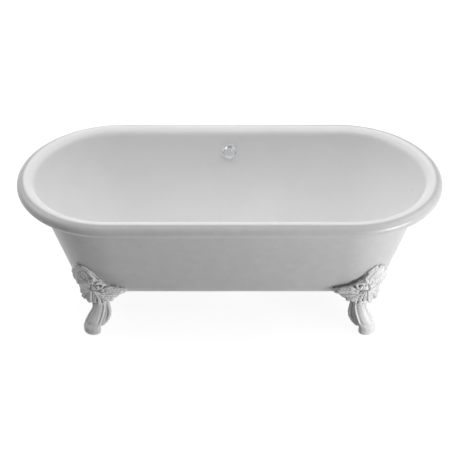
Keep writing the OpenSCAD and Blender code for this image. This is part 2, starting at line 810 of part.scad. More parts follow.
module overflow_gasket() {
    color(rubber)
    at_overflow()
        translate([0, 0, housing_front]) ring(housing_flange_r, overflow_hole_r, gasket_t);
}

module overflow_housing() {
    color(bright)
    at_overflow()
        difference() {
            union() {
                translate([0, 0, housing_front - housing_flange_t])
                    cylinder(r = housing_flange_r, h = housing_flange_t, $fn = fine);
                translate([0, 0, housing_back + cover_t])
                    cylinder(r = housing_r, h = housing_depth - cover_t, $fn = fine);
                translate([0, 0, pipe_off])
                    rotate([90, 0, 0]) cylinder(r = socket_r, h = socket_end, $fn = fine);
                translate([0, crank_r, drum_z + drum_t / 2])
                    rotate([0, -90, 0]) cylinder(r = gland_r + 1, h = housing_r + 3, $fn = fine);
            }
            translate([0, 0, housing_back])
                cylinder(r = chamber_r, h = spigot_end - housing_back, $fn = fine);
            translate([0, 0, spigot_end - cut])
                cylinder(r = spigot_r, h = housing_depth, $fn = fine);
            translate([0, 0, pipe_off])
                rotate([90, 0, 0]) cylinder(r = pipe_r - pipe_wall, h = socket_end + cut, $fn = fine);
            translate([0, -pipe_start, pipe_off])
                rotate([90, 0, 0]) cylinder(r = pipe_r + socket_gap, h = socket_end, $fn = fine);
            translate([0, crank_r, drum_z + drum_t / 2])
                rotate([0, -90, 0]) cylinder(r = barrel_r + 0.7, h = housing_r + 4, $fn = fine);
            for (turn = [45 : 90 : 315])
                rotate([0, 0, turn])
                    translate([housing_r - 0.5, 0, housing_back])
                        cylinder(r = 1.2, h = cover_t + 4, $fn = fine);
        }
}

module housing_cover() {
    color(bright)
    at_overflow()
        translate([0, 0, housing_back])
            difference() {
                union() {
                    cylinder(r = housing_r + 2, h = cover_t, $fn = fine);
                    cylinder(r = face_hub_r, h = cover_t + 3, $fn = fine);
                    for (turn = [45 : 90 : 315])
                        rotate([0, 0, turn])
                            translate([housing_r - 0.5, 0, 0]) cylinder(r = 4, h = cover_t, $fn = fine);
                }
                translate([0, 0, 1])
                    cylinder(r = journal_r + running_gap, h = cover_t + 4, $fn = fine);
                for (turn = [45 : 90 : 315])
                    rotate([0, 0, turn])
                        translate([housing_r - 0.5, 0, -cut]) cylinder(r = 1.5, h = cover_t + 2 * cut, $fn = fine);
            }
}

module cover_screws() {
    color(bright)
    at_overflow()
        for (turn = [45 : 90 : 315])
            rotate([0, 0, turn])
                translate([housing_r - 0.5, 0, housing_back - 2]) {
                    cylinder(r = 2.6, h = 2, $fn = fine);
                    cylinder(r = 1.2, h = 2 + cover_t + 3.5, $fn = fine);
                }
}

// Pipe pieces are drawn along Z and turned into place
module at_pipe_top() {
    at_overflow() translate([0, 0, pipe_off]) rotate([90, 0, 0]) children();
}

module at_pipe_end() {
    translate([0, 0, pipe_z]) rotate([-90, 0, 0]) children();
}

module pipe_section(hollow) {
    circle(r = hollow ? pipe_r - pipe_wall : pipe_r, $fn = fine);
}

// The whole pipe is drawn round the centre of its bend, with X across the bath and Y up
// A socket at the top of the bend takes the foot of the straight pipe.
module overflow_pipe_run(hollow) {
    more = hollow ? cut : 0;
    level_l = bend_centre[0] - pipe_end_y + more;
    translate([0, bend_centre[0], bend_centre[1]])
        rotate([90, 0, 90]) {
            translate([-level_l, -pipe_bend_r, 0])
                rotate([0, 90, 0]) linear_extrude(level_l) pipe_section(hollow);
            rotate([0, 0, -90])
                rotate_extrude(angle = bend_turn, $fn = fine)
                    translate([pipe_bend_r, 0]) pipe_section(hollow);
            rotate([0, 0, bend_turn - 90])
                translate([pipe_bend_r, pipe_step, 0])
                    rotate([-90, 0, 0]) linear_extrude(slope_l - pipe_step + more) pipe_section(hollow);
        }
}

module overflow_pipe() {
    color(bright) {
        difference() {
            overflow_pipe_run(false);
            overflow_pipe_run(true);
        }
        at_pipe_top()
            translate([0, 0, pipe_start + slope_l - pipe_socket_l])
                ring(pipe_r + 1.5, pipe_r - pipe_wall / 2, pipe_socket_l + 2);
    }
}

// Nut on the end of a socket, with its soft ring between the nut's shoulder and the socket
module pipe_nut() {
    difference() {
        union() {
            cylinder(r = nut_r, h = nut_lap + seal_t + 1, $fn = fine);
            cylinder(r = nut_corner_r, h = nut_lap, $fn = 8);
            translate([0, 0, nut_lap + seal_t + 1])
                cylinder(r1 = nut_r, r2 = pipe_r + 3, h = nut_l - nut_lap - seal_t - 1, $fn = fine);
        }
        translate([0, 0, -cut]) cylinder(r = socket_r, h = nut_lap + seal_t + cut, $fn = fine);
        translate([0, 0, -cut]) cylinder(r = pipe_r + socket_gap, h = nut_l + 2 * cut, $fn = fine);
    }
}

module pipe_nut_upper() {
    color(bright) at_pipe_top() translate([0, 0, socket_end - nut_lap]) pipe_nut();
}

module pipe_nut_lower() {
    color(bright) at_pipe_end() translate([0, 0, waste_socket_y - nut_lap]) pipe_nut();
}

module pipe_seal_upper() {
    color(rubber) at_pipe_top() translate([0, 0, socket_end]) ring(socket_r, pipe_r, seal_t);
}

module pipe_seal_lower() {
    color(rubber) at_pipe_end() translate([0, 0, waste_socket_y]) ring(socket_r, pipe_r, seal_t);
}

// Clips, each a band round the pipe with a loop that holds the cable beside it
clip_first = 60;
clip_run = slope_l - clip_first - 20;
module pipe_clips() {
    color(bright)
    at_pipe_top()
        for (i = [0 : clip_count - 1])
            translate([0, 0, pipe_start + clip_first + clip_run * i / (clip_count - 1) - clip_t / 2])
                difference() {
                    union() {
                        cylinder(r = pipe_r + 2, h = clip_t, $fn = fine);
                        translate([-cable_beside, 0, 0]) cylinder(r = cable_r + 2, h = clip_t, $fn = fine);
                    }
                    translate([0, 0, -cut]) cylinder(r = pipe_r, h = clip_t + 2 * cut, $fn = fine);
                    translate([-cable_beside, 0, -cut])
                        cylinder(r = cable_r + 0.1, h = clip_t + 2 * cut, $fn = fine);
                }
}

// Route of the cable. A point beside the sloping pipe is given by its distance down the wall
// from the overflow's centre, and by its place across the pipe.
function beside_slope(down, x, off) = let (p = overflow_centre + down * down_wall + off * off_wall) [x, p[0], p[1]];
function beside_bend(a, x) = [x, bend_centre[0] + pipe_bend_r * cos(a), bend_centre[1] + pipe_bend_r * sin(a)];
cable_exit_off = -(drum_z + drum_t / 2);
cable_route = concat(
    [beside_slope(-crank_r, -(housing_r + 6), cable_exit_off),
     beside_slope(-crank_r, -(housing_r + 15), cable_exit_off),
     beside_slope(-crank_r, -(housing_r + 24), cable_exit_off),
     beside_slope(6, -(housing_r + 36), cable_exit_off),
     beside_slope(28, -(housing_r + 40), cable_exit_off - 1),
     beside_slope(60, -(housing_r + 22), -pipe_off + 2),
     beside_slope(82, -cable_beside - 5, -pipe_off)],
    [for (i = [0 : 5]) beside_slope(pipe_start + clip_first + clip_run * i / 5, -cable_beside, -pipe_off)],
    [for (a = [-wall_lean - 12 : -20 : -80]) beside_bend(a, -cable_beside)],
    [[-cable_beside - 1, bend_centre[0] - 20, pipe_z],
     [-cable_beside - 10, 120, pipe_z],
     [-body_r - 18, 84, pipe_z + 3],
     [-body_r - 34, 48, pipe_z + 6],
     [-body_r - 40, 22, gland_z],
     [-body_r - 30, 4, gland_z],
     [-body_r - 19, 0, gland_z],
     [-body_r - 6, 0, gland_z]]);

function unit(v) = v / norm(v);
function spline(a, b, c, d, t) = 0.5 * (2 * b + (c - a) * t + (2 * a - 5 * b + 4 * c - d) * t * t
    + (3 * b - a - 3 * c + d) * t * t * t);
function smooth_route(p, steps) = let (n = len(p) - 1)
    concat([for (i = [0 : n - 1]) for (k = [0 : steps - 1])
        spline(p[max(i - 1, 0)], p[i], p[i + 1], p[min(i + 2, n)], k / steps)], [p[n]]);

module tube(route, r, sides) {
    n = len(route);
    along = [for (i = [0 : n - 1]) unit(route[min(i + 1, n - 1)] - route[max(i - 1, 0)])];
    rings = [for (i = [0 : n - 1])
        let (side = unit(cross(along[i], abs(along[i][0]) > 0.7 ? [0, 0.6, 0.8] : [1, 0, 0])),
            up = cross(side, along[i]))
        for (k = [0 : sides - 1]) route[i] + r * (cos(360 * k / sides) * side + sin(360 * k / sides) * up)];
    faces = concat(
        [[for (k = [0 : sides - 1]) k]],
        [for (i = [0 : n - 2]) for (k = [0 : sides - 1])
            [i * sides + k, (i + 1) * sides + k, (i + 1) * sides + (k + 1) % sides, i * sides + (k + 1) % sides]],
        [[for (k = [sides - 1 : -1 : 0]) (n - 1) * sides + k]]);
    polyhedron(rings, faces, convexity = 6);
}

module bowden_cable() {
    color(rubber) tube(smooth_route(cable_route, 3), cable_r, 8);
}

// Trap
module trap_union_nut() {
    color(bright)
    translate([0, 0, neck_top_z - nut_lap])
        difference() {
            union() {
                cylinder(r = neck_r + 3, h = nut_lap + seal_t + 6, $fn = fine);
                cylinder(r = (neck_r + 3) / cos(22.5), h = nut_lap, $fn = 8);
            }
            translate([0, 0, -cut]) cylinder(r = neck_r, h = nut_lap + seal_t + cut, $fn = fine);
            translate([0, 0, -cut]) cylinder(r = outlet_tail_r + socket_gap, h = 2 * outlet_tail_r, $fn = fine);
        }
}

module trap_washer() {
    color(rubber) translate([0, 0, neck_top_z]) ring(neck_r, outlet_tail_r, seal_t);
}

module trap_body() {
    color(bright)
    difference() {
        union() {
            translate([0, 0, trap_z]) cylinder(r = inlet_chamber_r, h = chamber_top_z - trap_z, $fn = fine);
            translate([0, 0, chamber_top_z - cut]) cylinder(r = neck_r, h = neck_h + cut, $fn = fine);
            translate([chamber_pitch, 0, trap_z])
                cylinder(r = outlet_chamber_r, h = outlet_chamber_top_z - trap_z, $fn = fine);
            translate([0, -22, trap_z]) cube([chamber_pitch, 44, passage_z - trap_z + trap_wall]);
            translate([chamber_pitch, 0, outlet_z])
                rotate([-90, 0, 0]) cylinder(r = waste_socket_wall_r, h = waste_socket_out_y, $fn = fine);
            translate([chamber_pitch, 0, clean_z])
                rotate([0, 90, 0]) cylinder(r = clean_r + 4, h = clean_x - chamber_pitch, $fn = fine);
        }
        translate([0, 0, trap_z + trap_wall])
            cylinder(r = inlet_chamber_r - trap_wall, h = chamber_top_z - trap_z - 2 * trap_wall, $fn = fine);
        translate([0, 0, chamber_top_z - 2 * trap_wall])
            cylinder(r = outlet_tail_r - 3, h = neck_h + 3 * trap_wall, $fn = fine);
        translate([0, 0, chamber_top_z])
            cylinder(r = outlet_tail_r + socket_gap, h = neck_h + cut, $fn = fine);
        translate([chamber_pitch, 0, trap_z + trap_wall])
            cylinder(r = outlet_chamber_r - trap_wall, h = outlet_chamber_top_z - trap_z - 2 * trap_wall, $fn = fine);
        translate([0, -18, trap_z + trap_wall]) cube([chamber_pitch, 36, passage_z - trap_z - trap_wall]);
        translate([chamber_pitch, 0, outlet_z])
            rotate([-90, 0, 0]) cylinder(r = waste_bore_r, h = waste_socket_out_y, $fn = fine);
        translate([chamber_pitch, waste_socket_in_y, outlet_z])
            rotate([-90, 0, 0]) cylinder(r = waste_socket_r, h = waste_socket_l + cut, $fn = fine);
        translate([chamber_pitch, 0, clean_z])
            rotate([0, 90, 0]) cylinder(r = clean_r, h = clean_x, $fn = fine);
    }
}

module cleaning_plug() {
    color(bright)
    translate([clean_x, 0, clean_z])
        rotate([0, 90, 0]) {
            translate([0, 0, -7]) cylinder(r = clean_r, h = 9, $fn = fine);
            translate([0, 0, 1]) cylinder(r = clean_r + 4, h = 3, $fn = fine);
            translate([0, 0, 4]) cylinder(r = 9, h = 5, $fn = 6);
        }
}

module cleaning_seal() {
    color(rubber)
    translate([clean_x, 0, clean_z]) rotate([0, 90, 0]) ring(clean_r + 3.5, clean_r, 1);
}

module at_outlet() {
    translate([chamber_pitch, waste_socket_out_y, outlet_z]) rotate([-90, 0, 0]) children();
}

module outlet_nut() {
    color(bright)
    at_outlet()
        translate([0, 0, -nut_lap])
            difference() {
                union() {
                    cylinder(r = waste_socket_wall_r + 3, h = nut_lap + seal_t + 3, $fn = fine);
                    cylinder(r = (waste_socket_wall_r + 3) / cos(22.5), h = nut_lap, $fn = 8);
                }
                translate([0, 0, -cut]) cylinder(r = waste_socket_wall_r, h = nut_lap + seal_t + cut, $fn = fine);
                translate([0, 0, -cut]) cylinder(r = waste_socket_r + 0.3, h = 2 * waste_socket_r, $fn = fine);
            }
}

module outlet_seal() {
    color(rubber) at_outlet() ring(waste_socket_wall_r, waste_socket_r + 0.1, seal_t);
}

tub_shell();
foot_front_left();
foot_front_right();
foot_rear_left();
foot_rear_right();
foot_bolts();
foot_washers();
waste_flange();
waste_flange_seal();
waste_gasket();
waste_body();
plug_cap();
plug_seal();
plug_stem();
lift_lever();
lever_pin();
cable_barrel_lower();
cable_gland_lower();
overflow_faceplate();
overflow_knob();
knob_cap();
knob_screw();
knob_spindle();
cable_drum();
cable_barrel_upper();
cable_gland_upper();
overflow_gasket();
overflow_housing();
housing_cover();
cover_screws();
overflow_pipe();
pipe_nut_upper();
pipe_seal_upper();
pipe_nut_lower();
pipe_seal_lower();
pipe_clips();
bowden_cable();
trap_union_nut();
trap_washer();
trap_body();
cleaning_plug();
cleaning_seal();
outlet_nut();
outlet_seal();
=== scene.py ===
import json
from math import atan, atan2, cos, exp, hypot, pi, radians, sin, sqrt, tan

import bpy
import numpy as np
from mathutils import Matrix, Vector, noise


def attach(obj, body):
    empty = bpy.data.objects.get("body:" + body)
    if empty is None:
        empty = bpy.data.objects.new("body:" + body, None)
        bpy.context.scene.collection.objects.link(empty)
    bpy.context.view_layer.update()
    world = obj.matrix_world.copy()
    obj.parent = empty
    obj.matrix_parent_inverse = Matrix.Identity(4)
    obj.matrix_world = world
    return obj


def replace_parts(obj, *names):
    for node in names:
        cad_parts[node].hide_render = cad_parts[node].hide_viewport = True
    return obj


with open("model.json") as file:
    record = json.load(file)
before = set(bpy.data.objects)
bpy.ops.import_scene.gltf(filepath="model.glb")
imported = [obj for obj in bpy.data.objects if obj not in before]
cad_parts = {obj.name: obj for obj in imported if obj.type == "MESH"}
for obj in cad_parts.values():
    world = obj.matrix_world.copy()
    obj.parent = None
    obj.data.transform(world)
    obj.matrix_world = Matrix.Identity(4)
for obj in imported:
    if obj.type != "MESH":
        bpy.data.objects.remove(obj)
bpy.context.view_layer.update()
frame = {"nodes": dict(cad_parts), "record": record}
MM = 0.001

# Sizes of the bath, the same as in its source
bath_length = 1750.0
bath_width = 800.0
bath_height = 630.0
underside_height = 123.0
wall = 6.5
wall_lean = radians(15.4)
bottom_radius = 90.0
floor_turn = radians(5)
rim_reach = 72.6
rim_wall = 7.0
nose_width = 31.0
rim_rise = 27.0
rim_drop = 29.0
roll_slope = radians(6)
under_rim_radius = 31.0
foot_azimuth = radians(70)
lug_proud = 6.0
lug_r = 16.0
lug_inset = 21.0
drain_r = 26.0
seat_depth = 3.0
flange_r = 35.0
drain_boss_drop = 5.0
overflow_drop = 97.0
spigot_r = 22.0

# Main lines that follow from them
half_width = bath_width / 2
end_x = (bath_length - bath_width) / 2
nose_z = bath_height - rim_rise
lip_z = nose_z - rim_drop
nose_r = half_width - nose_width
wall_top_r = half_width - rim_reach
lean_tan = tan(wall_lean)
lean_cos = cos(wall_lean)
lean_sin = sin(wall_lean)
floor_edge_r = (
    wall_top_r
    + lean_tan * (underside_height + bottom_radius * cos(floor_turn) - lip_z)
    + bottom_radius * sin(floor_turn)
    - bottom_radius / lean_cos
) / (1 - lean_tan * tan(floor_turn / 2))
turn_r = floor_edge_r - bottom_radius * sin(floor_turn)
turn_z = underside_height + floor_edge_r * tan(floor_turn / 2) + bottom_radius * cos(floor_turn)
dish_radius = floor_edge_r / sin(floor_turn)
dish_z = underside_height + dish_radius
floor_z = underside_height + wall
seat_z = floor_z - seat_depth
drain_boss_z = underside_height - drain_boss_drop
lug_q = turn_r + bottom_radius - lug_inset
lug_z = turn_z - sqrt(bottom_radius**2 - (lug_q - lug_r - turn_r) ** 2) - lug_proud
overflow_hole_r = spigot_r + 2


def outer_wall_r(z):
    return wall_top_r - (lip_z - z) * lean_tan


def inner_wall_r(z):
    return outer_wall_r(z) - wall / lean_cos


roll_turn = atan(nose_width / rim_rise * tan(roll_slope))
hollow_turn = atan((nose_width - rim_wall) / (rim_rise - rim_wall) * tan(roll_slope))
slope_start = (nose_r - nose_width * sin(roll_turn), nose_z + rim_rise * cos(roll_turn))
flare_r = under_rim_radius + wall
flare_slope = cos(roll_slope) * slope_start[1] - sin(roll_slope) * slope_start[0] - flare_r
flare_wall = lean_sin * nose_z - lean_cos * inner_wall_r(nose_z) - flare_r
flare = (
    (flare_slope * lean_sin - flare_wall * cos(roll_slope)) / cos(roll_slope + wall_lean),
    (flare_slope * lean_cos - flare_wall * sin(roll_slope)) / cos(roll_slope + wall_lean),
)
overflow_z = bath_height - overflow_drop
overflow_at = Vector((0, inner_wall_r(overflow_z), overflow_z))
overflow_out = Vector((0, -lean_cos, lean_sin))
overflow_up = Vector((0, lean_sin, lean_cos))


# Materials
class Paint:
    """A material whose nodes are added one at a time."""

    def __init__(self, name):
        self.material = bpy.data.materials.new(name)
        self.material.use_nodes = True
        self.tree = self.material.node_tree
        self.shader = self.tree.nodes["Principled BSDF"]
        self.place = self.node("ShaderNodeTexCoord").outputs["Object"]

    def node(self, kind, **values):
        made = self.tree.nodes.new(kind)
        for key, value in values.items():
            setattr(made, key, value)
        return made

    def link(self, source, target):
        self.tree.links.new(source, target)
        return target.node

    def fixed(self, **values):
        for key, value in values.items():
            self.shader.inputs[key.replace("_", " ").title().replace("Ior", "IOR")].default_value = value

    def grain(self, scale, detail=4.0, rough=0.55, stretch=(1, 1, 1)):
        mapped = self.node("ShaderNodeMapping")
        mapped.inputs["Scale"].default_value = stretch
        self.link(self.place, mapped.inputs["Vector"])
        made = self.node("ShaderNodeTexNoise")
        made.inputs["Scale"].default_value = scale
        made.inputs["Detail"].default_value = detail
        made.inputs["Roughness"].default_value = rough
        self.link(mapped.outputs["Vector"], made.inputs["Vector"])
        return made.outputs["Fac"]

    def ramp(self, source, stops):
        made = self.node("ShaderNodeValToRGB")
        while len(made.color_ramp.elements) < len(stops):
            made.color_ramp.elements.new(0.5)
        for element, (at, colour) in zip(made.color_ramp.elements, stops):
            element.position = at
            element.color = (*colour, 1) if isinstance(colour, tuple) else (colour, colour, colour, 1)
        self.link(source, made.inputs["Fac"])
        return made.outputs["Color"]

    def scaled(self, source, low, high, at=(0.3, 0.7)):
        made = self.node("ShaderNodeMapRange")
        made.inputs["From Min"].default_value = at[0]
        made.inputs["From Max"].default_value = at[1]
        made.inputs["To Min"].default_value = low
        made.inputs["To Max"].default_value = high
        self.link(source, made.inputs["Value"])
        return made.outputs["Result"]

    def mix(self, share, a, b):
        made = self.node("ShaderNodeMix", data_type="RGBA")
        for socket, value in (("A", a), ("B", b)):
            target = [s for s in made.inputs if s.name == socket and s.type == "RGBA"][0]
            if isinstance(value, tuple):
                target.default_value = (*value, 1)
            else:
                self.link(value, target)
        if isinstance(share, float):
            made.inputs["Factor"].default_value = share
        else:
            self.link(share, made.inputs["Factor"])
        return [s for s in made.outputs if s.type == "RGBA"][0]

    def bump(self, source, strength, distance, before=None):
        made = self.node("ShaderNodeBump")
        made.inputs["Strength"].default_value = strength
        made.inputs["Distance"].default_value = distance
        self.link(source, made.inputs["Height"])
        if before is not None:
            self.link(before, made.inputs["Normal"])
        self.link(made.outputs["Normal"], self.shader.inputs["Normal"])
        return made.outputs["Normal"]

    def attribute(self, name):
        return self.node("ShaderNodeAttribute", attribute_name=name).outputs["Fac"]


def enamel_paint():
    p = Paint("white_enamel_gloss")
    p.fixed(metallic=0.0, specular_ior_level=0.5)
    broad = p.grain(5.0, 3.0)
    fine = p.grain(55.0, 5.0, 0.6)
    colour = p.mix(p.scaled(broad, 0.0, 1.0), (0.90, 0.90, 0.90), (0.93, 0.93, 0.93))
    speck = p.ramp(p.grain(260.0, 2.0), [(0.24, 1.0), (0.31, 0.0)])
    marked_colour = p.mix(speck, colour, (0.80, 0.80, 0.795))
    painted = p.mix(p.scaled(p.grain(24.0, 4.0), 0.0, 1.0), (0.54, 0.54, 0.54), (0.58, 0.58, 0.58))
    both = p.mix(p.attribute("outside"), marked_colour, painted)
    p.link(both, p.shader.inputs["Base Color"])
    p.link(p.scaled(fine, 0.27, 0.40), p.shader.inputs["Roughness"])
    p.bump(p.grain(38.0, 3.0), 0.10, 0.0012, p.bump(p.grain(7.0, 2.0), 0.12, 0.006))
    return p.material


def casting_paint():
    p = Paint("white_painted_casting")
    p.fixed(metallic=0.0, specular_ior_level=0.5)
    broad = p.grain(16.0, 4.0)
    hollow = p.attribute("hollow")
    proud = p.attribute("proud")
    colour = p.mix(p.scaled(broad, 0.0, 1.0), (0.70, 0.70, 0.70), (0.80, 0.80, 0.80))
    # Proud parts are made lighter, towards 0.86
    marked_colour = p.mix(proud, colour, (0.86, 0.86, 0.86))
    # Hollows go dark, towards 0.16: painted shade in the recesses, with some grime
    grime_and_painted_shade = p.mix(hollow, marked_colour, (0.16, 0.16, 0.16))
    p.link(grime_and_painted_shade, p.shader.inputs["Base Color"])
    p.link(p.scaled(p.grain(90.0, 4.0), 0.36, 0.58), p.shader.inputs["Roughness"])
    p.bump(p.grain(420.0, 3.0), 0.25, 0.0006, p.bump(p.grain(120.0, 4.0), 0.3, 0.0012))
    return p.material


def metal(name, colour, other, rough, scratch=0.05, stretch=(1, 1, 1), scale=300.0):
    p = Paint(name)
    p.fixed(metallic=1.0)
    p.link(p.mix(p.scaled(p.grain(22.0, 5.0), 0.0, 1.0), colour, other), p.shader.inputs["Base Color"])
    p.link(p.scaled(p.grain(scale, 4.0, 0.6, stretch), rough[0], rough[1]), p.shader.inputs["Roughness"])
    p.bump(p.grain(scale * 1.6, 3.0, 0.5, stretch), scratch, 0.0004)
    return p.material


def soft_paint(name, colour, other, rough, scale=160.0):
    p = Paint(name)
    p.fixed(metallic=0.0, specular_ior_level=0.4)
    p.link(p.mix(p.scaled(p.grain(30.0, 4.0), 0.0, 1.0), colour, other), p.shader.inputs["Base Color"])
    p.link(p.scaled(p.grain(scale, 4.0), rough[0], rough[1]), p.shader.inputs["Roughness"])
    p.bump(p.grain(scale * 2, 3.0), 0.2, 0.0004)
    return p.material


ENAMEL = enamel_paint()
CASTING = casting_paint()
CHROME = metal("polished_chrome", (0.70, 0.71, 0.72), (0.60, 0.61, 0.62), (0.05, 0.13), 0.03)
BRASS = metal("turned_brass", (0.76, 0.60, 0.32), (0.60, 0.45, 0.22), (0.22, 0.42), 0.08, (1, 1, 6))
ZINC = metal("zinc_plate", (0.60, 0.61, 0.62), (0.47, 0.48, 0.49), (0.30, 0.52), 0.10)
RUBBER = soft_paint("black_rubber_ring", (0.035, 0.035, 0.036), (0.06, 0.06, 0.06), (0.55, 0.8))
SHEATH = soft_paint("grey_cable_sheath", (0.10, 0.10, 0.11), (0.15, 0.15, 0.16), (0.4, 0.6))


# Mesh making
def solid(name, points, faces, material, body="bath", sharp=None):
    mesh = bpy.data.meshes.new(name)
    mesh.from_pydata([tuple(c * MM for c in p) for p in points], [], faces)
    mesh.materials.append(material)
    mesh.shade_smooth()
    mesh.update()
    thing = bpy.data.objects.new(name, mesh)
    bpy.context.scene.collection.objects.link(thing)
    if sharp is not None:
        mesh.set_sharp_from_angle(angle=radians(sharp))
    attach(thing, body)
    return thing


def turned(line, steps=96):
    """Points and faces of an outline [radius, height] turned round Z. It may touch the axis at its ends."""
    points, rows, faces = [], [], []
    for r, z in line:
        if r < 1e-6:
            rows.append([len(points)] * steps)
            points.append((0.0, 0.0, z))
        else:
            rows.append(list(range(len(points), len(points) + steps)))
            points += [(r * cos(2 * pi * k / steps), r * sin(2 * pi * k / steps), z) for k in range(steps)]
    closed = line[0][0] > 1e-6
    for a, b in zip(rows, rows[1:] + ([rows[0]] if closed else [])):
        for k in range(steps):
            m = (k + 1) % steps
            face = [a[k], a[m], b[m], b[k]]
            face = [v for i, v in enumerate(face) if v != face[i - 1]]
            if len(face) > 2:
                faces.append(face)
    return points, faces


def arc_line(centre, radius, start, end, steps, up=None):
    up = radius if up is None else up
    return [
        (centre[0] + radius * cos(start + (end - start) * k / steps),
         centre[1] + up * sin(start + (end - start) * k / steps))
        for k in range(steps + 1)
    ]


def straight(a, b, steps):
    return [(a[0] + (b[0] - a[0]) * k / steps, a[1] + (b[1] - a[1]) * k / steps) for k in range(steps + 1)]


def joined(*lines):
    out = []
    for line in lines:
        for p in line:
            if not out or hypot(p[0] - out[-1][0], p[1] - out[-1][1]) > 1e-4:
                out.append(p)
    return out


# The bath. One closed section runs from the middle of the floor up the inside, over the roll,
# down the outside and back to the middle. The straight part carries it on both sides.
DISH_STEPS = 16
TURN_STEPS = 16
WALL_STEPS = 34


def dish(inset):
    return arc_line((0, dish_z), dish_radius - inset, -pi / 2, floor_turn - pi / 2, DISH_STEPS)


def turn(inset):
    return arc_line((turn_r, turn_z), bottom_radius - inset, floor_turn - pi / 2, -wall_lean, TURN_STEPS)


# The crease: how deep it is, its radius in the section, how wide it is, and the angle of a sharp edge
CREASE_DEPTH = 0.5
CREASE_R = 345.0
CREASE_WIDTH = 4.0
CREASE_ANGLE = 70


def creased(p):
    """The section with a shallow crease along the flare between the wall and the roll."""
    dip = CREASE_DEPTH * exp(-(((p[0] - CREASE_R) / CREASE_WIDTH) ** 2))
    return (p[0] + dip * sin(roll_slope), p[1] - dip * cos(roll_slope))


inner_turn = turn(wall)
outer_turn = turn(0)
flare_in = arc_line(flare, flare_r, pi - wall_lean, pi / 2 + roll_slope, 12)
flare_out = arc_line(flare, under_rim_radius, pi - wall_lean, pi / 2 + roll_slope, 8)
crest = arc_line((nose_r, nose_z), nose_width, pi / 2 + roll_turn, pi / 2, 9, rim_rise)
nose = arc_line((nose_r, nose_z), nose_width, pi / 2, 0, 16, rim_rise)
lip = arc_line((nose_r, nose_z), nose_width, 0, -pi / 2, 16, rim_drop)
lip_end = arc_line((nose_r, lip_z + rim_wall / 2), rim_wall / 2, -pi / 2, -3 * pi / 2, 8)
hollow_low = arc_line((nose_r, nose_z), nose_width - rim_wall, -pi / 2, 0, 10, rim_drop - rim_wall)
hollow_high = arc_line(
    (nose_r, nose_z), nose_width - rim_wall, 0, pi / 2 + hollow_turn, 12, rim_rise - rim_wall
)
inside = joined(dish(wall), inner_turn, straight(inner_turn[-1], flare_in[0], WALL_STEPS))
top_side = joined(flare_in, straight(flare_in[-1], slope_start, 18), crest, nose, lip)
top_side = [creased(p) for p in top_side]
under = joined(lip_end, hollow_low, hollow_high, straight(hollow_high[-1], flare_out[-1], 8))
outside = joined(flare_out[::-1], straight(flare_out[0], outer_turn[-1], WALL_STEPS), outer_turn[::-1])
section = joined(inside, top_side, under, outside, dish(0)[::-1])
LAST = len(section) - 1


# The paint's edge on the roll: the angle over the nose where the paint is full, and the blend's width
PAINT_EDGE = radians(94)
PAINT_BLEND = radians(20)


def outside_share(j):
    """0 on the enamel inside, 1 on the painted outside, with the change over the crest of the roll."""
    r, z = section[j]
    if j < len(inside):
        return 0.0
    if j >= len(inside) + len(top_side) or (z <= nose_z and r >= nose_r):
        return 1.0
    if z <= nose_z:
        return 0.0
    return max(0.0, min(1.0, (PAINT_EDGE - atan2(z - nose_z, r - nose_r)) / PAINT_BLEND))


# Columns of faces along the straight part, and round each end
COLUMNS = 96
AROUND = 96

# Waves of the casting: how high they are, and the lengths of the long and the short ones
WAVE_HEIGHT = 0.55
LONG_WAVE = 210.0
SHORT_WAVE = 84.0


